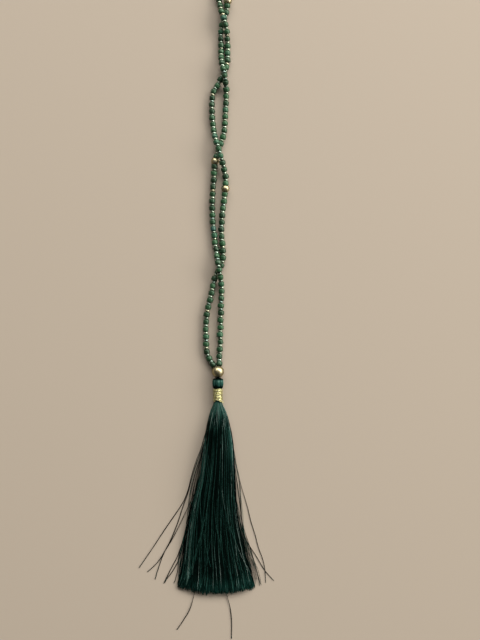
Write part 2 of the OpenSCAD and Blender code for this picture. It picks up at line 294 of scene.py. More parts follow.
def add_window(name, direction, distance, width, height, power, colour):
    """A soft rectangular light, turned to the middle of the photo's view."""
    x, y = photo_place((PHOTO_WIDTH / 2, PHOTO_HEIGHT / 2))
    target = Vector(in_frame((x, y, 0)))
    towards = Vector(direction).normalized()
    bpy.ops.object.light_add(type="AREA", location=target + towards * distance)
    light = bpy.context.object
    light.name = name
    light.rotation_euler = (-towards).to_track_quat("-Z", "Y").to_euler()
    light.data.shape = "RECTANGLE"
    light.data.size = width
    light.data.size_y = height
    light.data.energy = power
    light.data.color = linear(colour)[:3]


def add_light():
    """Plain studio light: a window to the right, a wider one past the top, and a dim room."""
    add_window("window_right", direction=(0.86, 0.26, 0.44), distance=3.0,
               width=3.3, height=1.5, power=92, colour="#fff8f0")
    add_window("window_top", direction=(0.2, 0.75, 0.63), distance=2.7,
               width=4.8, height=1.5, power=118, colour="#fffaf4")
    world = bpy.data.worlds.new("dim_room")
    bpy.context.scene.world = world
    world.use_nodes = True
    around = add_node(world, "ShaderNodeTexCoord").outputs["Generated"]
    # The room is brighter past the loop's far end, and dim behind the tassel
    bright_side = (0.3, 0.9, 0)
    towards = add_node(world, "ShaderNodeVectorMath", {0: around, 1: bright_side},
                       operation="DOT_PRODUCT")
    brightness = add_node(world, "ShaderNodeMapRange", {
        "Value": towards.outputs["Value"], "From Min": -0.9, "From Max": 0.9,
        "To Min": 0.03, "To Max": 0.22})
    room = world.node_tree.nodes["Background"]
    room.inputs["Color"].default_value = linear("#e9e4dc")
    world.node_tree.links.new(brightness.outputs["Result"], room.inputs["Strength"])
    bpy.context.scene.view_settings.view_transform = "Standard"


# Materials.

# Where nearly all the values of a noise lie
NOISE_SPAN = {"From Min": 0.3, "From Max": 0.7}


def per_mm(size):
    """The scale of a pattern on Object coordinates whose features are this many mm across."""
    return 1 / (size * MM)


def bands_apart(size):
    """The scale of a diagonal banded wave whose bands are this many mm apart along a thread."""
    apart_at_scale_one = 0.2 * math.pi
    return apart_at_scale_one / size


def new_material(name):
    """An empty material with its shader and the shader joined to the output."""
    material = bpy.data.materials.new(name)
    material.use_nodes = True
    material.node_tree.nodes.clear()
    shader = add_node(material, "ShaderNodeBsdfPrincipled")
    add_node(material, "ShaderNodeOutputMaterial", {"Surface": shader.outputs["BSDF"]})
    return material, shader


def set_shader(material, shader, **inputs):
    """Sets or links the shader's sockets, whose names are given with _ for a space."""
    for key, value in inputs.items():
        socket = shader.inputs[key.replace("_", " ")]
        if isinstance(value, bpy.types.NodeSocket):
            material.node_tree.links.new(value, socket)
        else:
            socket.default_value = value


def set_ramp(ramp, stops):
    """Gives a colour ramp its stops, each a place and a hex colour."""
    band = ramp.color_ramp
    while len(band.elements) < len(stops):
        band.elements.new(0.5)
    for element, (place, colour) in zip(band.elements, stops):
        element.position = place
        element.color = linear(colour)


def glazed_seed_glass():
    """Opaque glass, tumbled smooth, with a lustre glaze: satin, with soft broad highlights."""
    material, shader = new_material("glazed_seed_glass")
    spot = add_node(material, "ShaderNodeTexCoord").outputs["Object"]
    tone = add_node(material, "ShaderNodeAttribute", attribute_name="tone")
    ramp = add_node(material, "ShaderNodeValToRGB", {"Fac": tone.outputs["Fac"]})
    set_ramp(ramp, [(0, "#17291b"), (0.3, "#23402b"), (0.6, "#2e5438"), (0.85, "#305844"), (1, "#305057")])
    mottle = add_node(material, "ShaderNodeTexNoise", {
        "Vector": spot, "Scale": per_mm(1.1), "Detail": 3, "Roughness": 0.6})
    clouds = add_node(material, "ShaderNodeMapRange", {
        "Value": mottle.outputs["Fac"], **NOISE_SPAN, "To Min": 0.82, "To Max": 1.12})
    glaze = add_node(material, "ShaderNodeMix", {
        "Factor": 1.0, "A": ramp.outputs["Color"], "B": clouds.outputs["Result"]},
        data_type="RGBA", blend_type="MULTIPLY")
    grain = add_node(material, "ShaderNodeTexNoise", {
        "Vector": spot, "Scale": per_mm(0.35), "Detail": 2, "Roughness": 0.5})
    satin = add_node(material, "ShaderNodeMapRange", {
        "Value": grain.outputs["Fac"], **NOISE_SPAN, "To Min": 0.3, "To Max": 0.44})
    pits = add_node(material, "ShaderNodeBump", {
        "Height": grain.outputs["Fac"], "Strength": 0.25, "Distance": 0.05 * MM})
    set_shader(material, shader, Base_Color=glaze.outputs["Result"], Roughness=satin.outputs["Result"],
               Normal=pits.outputs["Normal"], IOR=1.6, Specular_Tint=linear("#b9e0c2"),
               Coat_Weight=0.35, Coat_Roughness=0.3, Coat_Tint=linear("#c4e4cc"))
    return material


def plated_spacer_metal():
    """Small donut beads with greenish bright plating: dark, with a white flash towards the light."""
    material, shader = new_material("plated_spacer_metal")
    spot = add_node(material, "ShaderNodeTexCoord").outputs["Object"]
    tone = add_node(material, "ShaderNodeAttribute", attribute_name="tone")
    ramp = add_node(material, "ShaderNodeValToRGB", {"Fac": tone.outputs["Fac"]})
    set_ramp(ramp, [(0, "#b0a787"), (0.15, "#a0af98"), (0.7, "#91a797"), (1, "#839f98")])
    grain = add_node(material, "ShaderNodeTexNoise", {
        "Vector": spot, "Scale": per_mm(0.3), "Detail": 2, "Roughness": 0.5})
    polish = add_node(material, "ShaderNodeMapRange", {
        "Value": grain.outputs["Fac"], **NOISE_SPAN, "To Min": 0.28, "To Max": 0.4})
    dents = add_node(material, "ShaderNodeBump", {
        "Height": grain.outputs["Fac"], "Strength": 0.2, "Distance": 0.04 * MM})
    set_shader(material, shader, Base_Color=ramp.outputs["Color"], Roughness=polish.outputs["Result"],
               Normal=dents.outputs["Normal"], Metallic=1.0, Coat_Weight=0.7, Coat_Roughness=0.15)
    return material


def polished_gold_plating():
    """Hollow brass beads plated in pale gold: a soft polish with faint dents, darker at the rim."""
    material, shader = new_material("polished_gold_plating")
    spot = add_node(material, "ShaderNodeTexCoord").outputs["Object"]
    wear = add_node(material, "ShaderNodeTexNoise", {
        "Vector": spot, "Scale": per_mm(2.2), "Detail": 4, "Roughness": 0.65})
    ramp = add_node(material, "ShaderNodeValToRGB", {"Fac": wear.outputs["Fac"]})
    set_ramp(ramp, [(0.3, "#a29978"), (0.5, "#bab28f"), (0.75, "#cec7a9")])
    polish = add_node(material, "ShaderNodeMapRange", {
        "Value": wear.outputs["Fac"], **NOISE_SPAN, "To Min": 0.31, "To Max": 0.44})
    dents = add_node(material, "ShaderNodeBump", {
        "Height": wear.outputs["Fac"], "Strength": 0.12, "Distance": 0.2 * MM})
    set_shader(material, shader, Base_Color=ramp.outputs["Color"], Roughness=polish.outputs["Result"],
               Normal=dents.outputs["Normal"], Metallic=1.0, Specular_Tint=linear("#6b5a3a"))
    return material


def silk_floss():
    """Dyed silk floss: each thread dark and glossy, with painted glints along it, and cut ends made
    lighter, partly for fraying and partly as painted light.
    """
    material, shader = new_material("silk_floss")
    lie = add_node(material, "ShaderNodeUVMap", uv_map="lie").outputs["UV"]
    tone = add_node(material, "ShaderNodeAttribute", attribute_name="tone")
    ramp = add_node(material, "ShaderNodeValToRGB", {"Fac": tone.outputs["Fac"]})
    # Low tones are the dark dye; the ramp's light end serves the threads painted lighter, as painted light
    set_ramp(ramp, [(0, "#010403"), (0.4, "#010705"), (0.66, "#041714"), (0.85, "#305a51"), (1, "#889e98")])
    # Painted glints on a thread, lighter and darker patches along it that stand in for its highlights: how
    # many lie round it, and how long each is, in millimetres
    glints_round = 3
    glint_length = 1.25
    stretch = add_node(material, "ShaderNodeMapping", {
        "Vector": lie, "Scale": (glints_round, 1 / glint_length, 1)})
    streaks = add_node(material, "ShaderNodeTexNoise", {
        "Vector": stretch.outputs["Vector"], "Scale": 1.0, "Detail": 2, "Roughness": 0.5})
    painted_glints = add_node(material, "ShaderNodeMapRange", {
        "Value": streaks.outputs["Fac"], **NOISE_SPAN, "To Min": 0.35, "To Max": 1.8})
    dyed_with_painted_glints = add_node(material, "ShaderNodeMix", {
        "Factor": 1.0, "A": ramp.outputs["Color"], "B": painted_glints.outputs["Result"]},
        data_type="RGBA", blend_type="MULTIPLY")
    reach = add_node(material, "ShaderNodeAttribute", attribute_name="reach")
    # The cut ends are lighter, partly for the fraying and partly as painted light on the tips; how much
    # follows the thread's tone, so the lighter-painted threads get the lightest ends
    ends = add_node(material, "ShaderNodeMapRange", {
        "Value": reach.outputs["Fac"], "From Min": 0.93, "From Max": 1.0, "To Min": 0.0, "To Max": 0.8})
    light = add_node(material, "ShaderNodeMath", {0: tone.outputs["Fac"], 1: 1.5}, operation="POWER")
    frayed_and_painted_light = add_node(material, "ShaderNodeMath", {0: ends.outputs["Result"], 1: light.outputs["Value"]},
                      operation="MULTIPLY")
    cut = add_node(material, "ShaderNodeMix", {
        "Factor": frayed_and_painted_light.outputs["Value"], "A": dyed_with_painted_glints.outputs["Result"], "B": linear("#3f8a7d")},
        data_type="RGBA")
    gloss = add_node(material, "ShaderNodeMapRange", {
        "Value": tone.outputs["Fac"], "To Min": 0.6, "To Max": 0.32})
    twist = add_node(material, "ShaderNodeTexWave", {
        "Vector": lie, "Scale": bands_apart(0.8), "Distortion": 0.4},
        wave_type="BANDS", bands_direction="DIAGONAL")
    fibres = add_node(material, "ShaderNodeBump", {
        "Height": twist.outputs["Fac"], "Strength": 0.3, "Distance": 0.03 * MM})
    set_shader(material, shader, Base_Color=cut.outputs["Result"], Roughness=gloss.outputs["Result"],
               Normal=fibres.outputs["Normal"], IOR=1.5, Specular_IOR_Level=0.07,
               Specular_Tint=linear("#72aea2"))
    return material


def gold_film_yarn():
    """Metallic yarn, a strip of gold film wound round a core: yellow, with painted glints and painted shade
    in bands along each turn, and painted flashes in blotches.
    """
    material, shader = new_material("gold_film_yarn")
    lie = add_node(material, "ShaderNodeUVMap", uv_map="lie").outputs["UV"]
    spot = add_node(material, "ShaderNodeTexCoord").outputs["Object"]
    strip = add_node(material, "ShaderNodeTexWave", {
        "Vector": lie, "Scale": bands_apart(0.45), "Distortion": 1.2, "Detail": 1.0},
        wave_type="BANDS", bands_direction="DIAGONAL")
    # The strip's bands run from dark olive to near white: painted glints and painted shade on each turn of
    # the film
    ramp = add_node(material, "ShaderNodeValToRGB", {"Fac": strip.outputs["Fac"]})
    set_ramp(ramp, [(0.1, "#807b36"), (0.5, "#d0cc80"), (0.9, "#f8f6cb")])
    glitter = add_node(material, "ShaderNodeTexNoise", {
        "Vector": spot, "Scale": per_mm(0.4), "Detail": 2, "Roughness": 0.6})
    polish = add_node(material, "ShaderNodeMapRange", {
        "Value": glitter.outputs["Fac"], **NOISE_SPAN, "To Min": 0.22, "To Max": 0.45})
    crinkle = add_node(material, "ShaderNodeTexNoise", {
        "Vector": spot, "Scale": per_mm(1.2), "Detail": 2, "Roughness": 0.5})
    # Painted flashes: the colour is made lighter and darker in blotches where the film crinkles, standing
    # in for reflections; the same noise also bends the normals
    flash = add_node(material, "ShaderNodeMapRange", {
        "Value": crinkle.outputs["Fac"], "From Min": 0.35, "From Max": 0.65,
        "To Min": 0.72, "To Max": 1.25})
    film = add_node(material, "ShaderNodeMix", {
        "Factor": 1.0, "A": ramp.outputs["Color"], "B": flash.outputs["Result"]},
        data_type="RGBA", blend_type="MULTIPLY")
    folds = add_node(material, "ShaderNodeBump", {
        "Height": strip.outputs["Fac"], "Strength": 0.4, "Distance": 0.04 * MM})
    creases = add_node(material, "ShaderNodeBump", {
        "Height": crinkle.outputs["Fac"], "Normal": folds.outputs["Normal"],
        "Strength": 0.6, "Distance": 0.3 * MM})
    set_shader(material, shader, Base_Color=film.outputs["Result"], Roughness=polish.outputs["Result"],
               Normal=creases.outputs["Normal"], Metallic=0.75)
    return material


def beading_thread():
    """Twisted nylon beading thread in a dark green dye: matt, with a fine diagonal twist whose grooves are
    painted darker as painted shade.
    """
    material, shader = new_material("beading_thread")
    lie = add_node(material, "ShaderNodeUVMap", uv_map="lie").outputs["UV"]
    twist = add_node(material, "ShaderNodeTexWave", {
        "Vector": lie, "Scale": bands_apart(0.9), "Distortion": 0.3},
        wave_type="BANDS", bands_direction="DIAGONAL")
    # The twist's bands are painted shade: darker in the grooves between the plies
    ramp = add_node(material, "ShaderNodeValToRGB", {"Fac": twist.outputs["Fac"]})
    set_ramp(ramp, [(0, "#0c211a"), (1, "#1d4235")])
    plies = add_node(material, "ShaderNodeBump", {
        "Height": twist.outputs["Fac"], "Strength": 0.5, "Distance": 0.05 * MM})
    set_shader(material, shader, Base_Color=ramp.outputs["Color"], Roughness=0.6,
               Normal=plies.outputs["Normal"])
    return material


def matt_studio_paper():
    """Matt pale paper: the plain floor that the mala lies on, with no gloss and no pattern."""
    material, shader = new_material("matt_studio_paper")
    set_shader(material, shader, Base_Color=linear("#b3a899"), Roughness=0.7)
    return material


# Curves and joined meshes.


def smooth_line(points, steps=10):
    """A smooth curve through given points, with this many steps between two of them."""
    p = np.asarray(points, float)
    p = np.vstack([2 * p[0] - p[1], p, 2 * p[-1] - p[-2]])
    t = np.linspace(0, 1, steps, endpoint=False)[:, None]
    parts = []
    for a, b, c, d in zip(p, p[1:], p[2:], p[3:]):
        parts.append(0.5 * (2 * b + (c - a) * t + (2 * a - 5 * b + 4 * c - d) * t ** 2
                            + (3 * b - a - 3 * c + d) * t ** 3))
    return np.vstack(parts + [p[-2:-1]])


def lengths_along(line):
    """How far each point of a line lies from its start."""
    return np.concatenate([[0], np.cumsum(np.linalg.norm(np.diff(line, axis=0), axis=1))])


def points_at(line, reached, wanted):
    """The places at the wanted distances along a line."""
    return np.stack([np.interp(wanted, reached, line[:, k]) for k in range(3)], axis=-1)


def respaced(line, count):
    """The same line as this many points, evenly spaced."""
    reached = lengths_along(line)
    return points_at(line, reached, np.linspace(0, reached[-1], count))


def cross_frame(headings, up):
    """Two directions square to each heading and to each other."""
    side = unit(np.cross(headings, up))
    return side, np.cross(side, headings)


def mesh_piece(name, points, faces, tones=None, reach=None, lie=None):
    """A new object in the frame from places in millimetres, smooth all over.

    Each point may carry its tone and how far down its thread it is, and lie is a thread's own map.
    """
    mesh = bpy.data.meshes.new(name)
    mesh.from_pydata(in_frame(points).tolist(), [], faces)
    mesh.polygons.foreach_set("use_smooth", [True] * len(mesh.polygons))
    for label, values in (("tone", tones), ("reach", reach)):
        if values is not None:
            mesh.attributes.new(label, "FLOAT", "POINT").data.foreach_set("value", np.ravel(values))
    if lie is not None:
        corners = np.empty(len(mesh.loops), np.int32)
        mesh.loops.foreach_get("vertex_index", corners)
        mesh.uv_layers.new(name="lie").data.foreach_set("uv", np.ravel(lie[corners]))
    mesh.update()
    piece = bpy.data.objects.new(name, mesh)
    bpy.context.collection.objects.link(piece)
    return piece


def thread_piece(name, paths, radii, sides, tones, up=(0, 0, 1)):
    """Many round threads as one mesh. Paths are in millimetres, all with as many points."""
    paths = np.asarray(paths, float)
    threads, stops = paths.shape[:2]
    radii = np.broadcast_to(radii, (threads, stops))[..., None, None]
    headings = unit(np.gradient(paths, axis=1))
    side, over = cross_frame(headings, np.broadcast_to(up, paths.shape))
    angles = np.arange(sides) * 2 * math.pi / sides
    ring = (np.cos(angles)[:, None] * side[:, :, None] + np.sin(angles)[:, None] * over[:, :, None])
    points = (paths[:, :, None] + ring * radii).reshape(-1, 3)

    index = np.arange(threads * stops * sides).reshape(threads, stops, sides)
    turned = np.roll(index, -1, axis=2)
    walls = np.stack([index[:, :-1], index[:, 1:], turned[:, 1:], turned[:, :-1]], axis=-1)
    faces = walls.reshape(-1, 4).tolist()
    faces += index[:, 0].tolist() + index[:, -1, ::-1].tolist()

    step = np.linalg.norm(np.diff(paths, axis=1), axis=2)
    length = np.concatenate([np.zeros((threads, 1)), np.cumsum(step, axis=1)], axis=1)
    reach = length / length[:, -1:]
    # Each thread's map starts elsewhere, so that no two threads look alike
    map_step = 7.3
    along = length + np.arange(threads)[:, None] * map_step
    lie = np.stack([np.broadcast_to(np.arange(sides) / sides, (threads, stops, sides)),
                    np.broadcast_to(along[..., None], (threads, stops, sides))], axis=-1)
    return mesh_piece(
        name, points, faces,
        tones=np.broadcast_to(np.reshape(tones, (threads, -1, 1)), (threads, stops, sides)),
        reach=np.broadcast_to(reach[..., None], (threads, stops, sides)),
        lie=lie.reshape(-1, 2))


def strung_piece(name, bead, places, headings, widths, lengths, tones):
    """Copies of one bead, whose hole runs along Z, strung on a line as one mesh."""
    corners = np.array([v.co for v in bead.data.vertices])
    side, over = cross_frame(headings, np.array([0.0, 0.0, 1.0]))
    roll = rng.uniform(0, 2 * math.pi, len(places))[:, None]
    first = np.cos(roll) * over + np.sin(roll) * side
    second = np.cos(roll) * side - np.sin(roll) * over
    points = (places[:, None]
              + corners[None, :, 0:1] * widths[:, None, None] * first[:, None]
              + corners[None, :, 1:2] * widths[:, None, None] * second[:, None]
              + corners[None, :, 2:3] * lengths[:, None, None] * headings[:, None])
    faces = []
    for i in range(len(places)):
        shift = i * len(corners)
        faces += [[v + shift for v in p.vertices] for p in bead.data.polygons]
    tones = np.repeat(tones, len(corners))
    return mesh_piece(name, points.reshape(-1, 3), faces, tones=tones)


def shade_by_angle(piece, degrees):
    """Smooth shading that keeps the edges sharper than this angle crisp."""
    bpy.ops.object.select_all(action="DESELECT")
    piece.select_set(True)
    bpy.context.view_layer.objects.active = piece
    bpy.ops.object.shade_smooth_by_angle(angle=math.radians(degrees))


def dress(piece, material, slot_name, *nodes):
    """Gives a finished piece its material, hangs it under the root body, and hides the CAD parts that it
    stands for.
    """
    piece.data.materials.clear()
    piece.data.materials.append(material)
    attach(piece, "root")
    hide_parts(*nodes)


# Beads modelled by hand, in millimetres, with the hole along Z.


def pick(piece, mode, wanted):
    """In edit mode, selects the faces or edges that a test wants, and nothing else."""
    bpy.ops.mesh.select_mode(type=mode)
    bpy.ops.mesh.select_all(action="DESELECT")
    mesh = bmesh.from_edit_mesh(piece.data)
    for part in mesh.faces if mode == "FACE" else mesh.edges:
        if wanted(part):
            part.select_set(True)
    bmesh.update_edit_mesh(piece.data)


def on_rim(edge, radius, height):
    """Whether both ends of an edge lie on a circle round Z at either end of a bead."""
    near = 0.02
    return all(
        abs(math.hypot(v.co.x, v.co.y) - radius) < near and abs(abs(v.co.z) - height) < near
        for v in edge.verts)


def drill(piece, rim_radius, hole):
    """Insets both flat ends down to the hole and joins them through the bead."""
    facing_an_end = 0.99
    pick(piece, "FACE", lambda face: abs(face.normal.z) > facing_an_end)
    bpy.ops.mesh.inset(thickness=rim_radius - hole / 2, use_individual=True)
    bpy.ops.mesh.bridge_edge_loops()


def close_up(piece):
    """Leaves edit mode with the normals pointing out of the bead."""
    bpy.ops.mesh.select_all(action="SELECT")
    bpy.ops.mesh.normals_make_consistent(inside=False)
    bpy.ops.object.mode_set(mode="OBJECT")


def tumbled_bead(diameter, length, hole, sides, rounding):
    """A short tube with rounded rims: a seed bead, cut from a glass cane and tumbled smooth."""
    bpy.ops.object.select_all(action="DESELECT")
    bpy.ops.mesh.primitive_cylinder_add(vertices=sides, radius=diameter / 2, depth=length)
    bead = bpy.context.object
    bpy.ops.object.mode_set(mode="EDIT")
    drill(bead, diameter / 2, hole)
    pick(bead, "EDGE", lambda edge: on_rim(edge, diameter / 2, length / 2))
    bpy.ops.mesh.bevel(offset=rounding, segments=2, affect="EDGES")
    close_up(bead)
    return bead


def round_bead(diameter, length, bore, around, rings):
    """A ball with flattened, drilled ends and softly rounded rims."""
    bpy.ops.object.select_all(action="DESELECT")
    bpy.ops.mesh.primitive_uv_sphere_add(segments=around, ring_count=rings, radius=diameter / 2)
    bead = bpy.context.object
    bpy.ops.object.mode_set(mode="EDIT")
    for end in (1, -1):
        bpy.ops.mesh.select_all(action="SELECT")
        bpy.ops.mesh.bisect(
            plane_co=(0, 0, end * length / 2), plane_no=(0, 0, end), use_fill=True, clear_outer=True)
    flat = math.sqrt((diameter / 2) ** 2 - (length / 2) ** 2)
    outer_rounding = flat * 0.25
    bore_rounding = bore * 0.12
    drill(bead, flat, bore)
    pick(bead, "EDGE", lambda edge: on_rim(edge, flat, length / 2))
    bpy.ops.mesh.bevel(offset=outer_rounding, segments=3, affect="EDGES")
    pick(bead, "EDGE", lambda edge: on_rim(edge, bore / 2, length / 2))
    bpy.ops.mesh.bevel(offset=bore_rounding, segments=2, affect="EDGES")
    close_up(bead)
    return bead


def settled(bead, name, place, heading):
    """A copy of a bead with its own mesh, turned along a heading and moved into the frame."""
    copy = bead.copy()
    copy.data = bead.data.copy()
    copy.name = name
    copy.data.name = name
    bpy.context.collection.objects.link(copy)
    turn = Vector(heading).to_track_quat("Z", "Y").to_matrix().to_4x4()
    copy.data.transform(Matrix.Translation(in_frame(place)) @ turn @ Matrix.Scale(MM, 4))
    shade_by_angle(copy, degrees=50)
    return copy


# The strands.


def run_ends(route, lead):
    """A strand's line, how far along it each point lies, and where its runs of seed beads lie."""
    steps = 10
    line = smooth_line([row[:3] for row in route], steps)
    reached = lengths_along(line)
    at = [reached[i * steps] for i in range(len(route))]
    kinds = [row[3] for row in route]
    gold_half = GOLD_LENGTH / 2 + GOLD_CLEARANCE
    strung = [i for i, kind in enumerate(kinds) if kind == STRING]
    starts = [at[strung[0]] - lead]
    ends = []
    for i, kind in enumerate(kinds):
        if kind == GOLD:
            ends.append(at[i] - gold_half)
            starts.append(at[i] + gold_half)
    ends.append(at[strung[-1]])
    return line, reached, list(zip(starts, ends))


def headings_at(line, reached, wanted):
    """The directions of a line at the wanted distances along it."""
    near = 0.4
    return unit(points_at(line, reached, wanted + near) - points_at(line, reached, wanted - near))


def bead_places(runs, counts, slides):
    """How far along a strand each seed bead and each spacer lies, and how stretched each one is."""
    seeds, spacers = [], []
    for (start, end), count, slips in zip(runs, counts, slides):
        pitch = (end - start + SPACER_LENGTH) / count
        stretch = pitch / PITCH
        first = start + SEED_LENGTH * stretch / 2
        share = np.arange(count) / (count - 1)
        slid = np.interp(share, np.linspace(0, 1, len(slips)), slips)
        at = first + share * pitch * (count - 1) + slid
        seeds += [(place, stretch) for place in at]
        spacers += [(place, stretch) for place in (at[:-1] + at[1:]) / 2]
    return np.array(seeds), np.array(spacers)


def add_strand(side, route, lead, counts, slides, beads, materials):
    """One strand: its seed beads, the spacers between them, and the thread through them."""
    line, reached, runs = run_ends(route, lead)
    seeds, spacers = bead_places(runs, counts, slides)
    # Each kind of bead: its name, its slot, its diameter, its places, how much its width differs as
    # a share, how far it leans, in radians, and how far it lies off the line, in millimetres
    kinds = (
        ("seed_beads", "seed_beads", SEED_DIAMETER, seeds, 0.07, 0.07, 0.07),
        ("spacers", "spacer_beads", SPACER_DIAMETER, spacers, 0.05, 0.07, 0.04),
    )
    # A bead moves most to the side, little along the strand
    freedom = (1, 0.3, 0.5)
    node = f"{side}_strand"
    for label, slot_name, diameter, strung, uneven, lean, off in kinds:
        at, stretch = strung.T
        count = len(at)
        places = points_at(line, reached, at) + rng.normal(0, off, (count, 3)) * freedom
        headings = unit(headings_at(line, reached, at) + rng.normal(0, lean, (count, 3)))
        widths = 1 + rng.uniform(-uneven, uneven, count) - uneven / 5
        places[:, 2] = np.maximum(places[:, 2], widths * diameter / 2)
        lengths = stretch * (1 + rng.uniform(-0.07, 0.04, count))
        tones = rng.beta(1.6, 2.0, count)
        piece = strung_piece(f"{side}_{label}", beads[label], places, headings, widths, lengths, tones)
        shade_by_angle(piece, degrees=60)
        dress(piece, materials[label], slot_name, node)
    stop_every = 2
    whole = respaced(line, int(reached[-1] / stop_every))
    thread = thread_piece(f"{side}_thread", [whole], THREAD_DIAMETER / 2, sides=6, tones=[0.5])
    dress(thread, materials["thread"], "silk", node)


def add_gold_beads(gold):
    """The seven gold accent beads, each on its strand's line where the CAD has it."""
    template = round_bead(GOLD_DIAMETER, GOLD_LENGTH, GOLD_BORE, around=28, rings=16)
    spots = []
    for route in (RIGHT_ROUTE, LEFT_ROUTE):
        for before, row, after in zip(route, route[1:], route[2:]):
            if row[3] == GOLD:
                heading = Vector(after[:3]) - Vector(before[:3])
                spots.append(((row[0], row[1], GOLD_DIAMETER / 2), heading))
    spots.append((FAR_BEAD, (1, 0, 0)))
    for number, (place, heading) in enumerate(spots, 1):
        bead = settled(template, f"gold_accent_{number}", place, heading)
        dress(bead, gold, "gold_metal", f"gold_bead_{number}")
    bpy.data.objects.remove(template)


def add_guru(gold):
    """The larger gold bead that gathers both strands, its bore towards the tassel."""
    template = round_bead(GURU_DIAMETER, GURU_LENGTH, GURU_BORE, around=40, rings=24)
    guru = settled(template, "polished_guru", (0, 0, GURU_Z), (0, 1, 0))
    dress(guru, gold, "gold_metal", "guru_bead")
    bpy.data.objects.remove(template)


# The tassel.


def head_radius(y):
    """Radius of the wrapped head at a place along the tassel."""
    share = np.clip((y - NECK_TOP) / HEAD_LENGTH, 0, 1)
    swell = (HEAD_RADIUS - HEAD_END_RADIUS) * np.sin(math.pi * share) ** 0.5
    return np.where(y < NECK_TOP, NECK_RADIUS, HEAD_END_RADIUS + swell)


def round_neck(angle, radius, y):
    """Places round the tassel's head and neck, at an angle from straight up."""
    return np.stack([radius * np.sin(angle), y, HEAD_Z + radius * np.cos(angle)], axis=-1)


def add_head(silk):
    """The head: lengthwise floss laid over the knot and drawn in under the winding."""
    thread = 0.16
    paths, outward, tones = [], [], []
    # Each layer: how many threads it has, and how deep it lies
    for count, depth in ((56, 0), (44, 0.28), (30, 0.7)):
        over_knot = [HEAD_TOP - 0.12 - depth * 0.4, HEAD_TOP - 0.14 - depth * 0.4]
        down_side = np.linspace(HEAD_TOP - 0.22 - depth * 0.3, NECK_TOP + 0.05, 11)
        under_winding = [NECK_TOP - 0.4, NECK_TOP - 1.5]
        y = np.concatenate([over_knot, down_side, under_winding])
        # Painted shade on the head's threads near the knot and near the winding, and painted light over the
        # middle of its swell
        painted_lit = np.interp(y, (NECK_TOP, NECK_TOP + 1.2, HEAD_TOP - 1, HEAD_TOP - 0.2), (0.5, 0.88, 1.04, 0.5))
        for k in range(count):
            around = 2 * math.pi * (k + rng.uniform(-0.3, 0.3)) / count
            r = head_radius(y) - thread - depth - rng.uniform(0, 0.09)
            # The first two places lie on top of the head, near the cord
            r[:2] = (0.6, max(1.1, r[2] - 0.45))
            sway = around + rng.normal(0, 0.02) * np.sin(np.linspace(0, math.pi, len(y)))
            paths.append(round_neck(sway, r, y))
            outward.append(np.stack([np.sin(sway), np.full(len(y), 0.4), np.cos(sway)], axis=-1))
            tones.append(rng.uniform(0.74, 0.9) * painted_lit)
    head = thread_piece("silk_head", paths, thread, sides=5, tones=tones, up=np.array(outward))
    dress(head, silk, "silk", "silk_tassel")


def add_tassel_cord(silk):
    """The three-ply cord from the head up into the guru bead's bore, and the knot round it."""
    plies = 3
    ply_radius = 0.3
    ply_offset = 0.29
    # Radians of turn to a millimetre
    twist_a_mm = 2.2
    # From inside the guru bead down into the head
    y = np.linspace(-0.3, HEAD_TOP - 1.2, 26)
    paths = []
    for ply in range(plies):
        turn = y * twist_a_mm + ply * 2 * math.pi / plies
        x, z = ply_offset * np.cos(turn), ply_offset * np.sin(turn)
        paths.append(np.stack([x, y, GURU_Z + z], axis=-1))
    cord = thread_piece("tassel_cord", paths, ply_radius, sides=8, tones=[0.1, 0.2, 0.3])
    dress(cord, silk, "silk", "silk_tassel")

    knot_turns = 3
    thread = KNOT_LENGTH / 2
    angle = np.linspace(0, knot_turns * 2 * math.pi, 60)
    r = np.linspace(0.45, KNOT_RADIUS - thread, len(angle))
    y = HEAD_TOP + thread + 0.03 * np.sin(angle * 1.4)
    coil = np.stack([r * np.cos(angle), y, GURU_Z + r * np.sin(angle)], axis=-1)
    # The knot is drawn wide and gets the darkest tone as painted shade, filling the shaded gap between the
    # guru bead and the head
    knot = thread_piece("tassel_knot", [coil], thread - 0.02, sides=8, tones=[0.04], up=(0, 1, 0))
    dress(knot, silk, "silk", "silk_tassel")


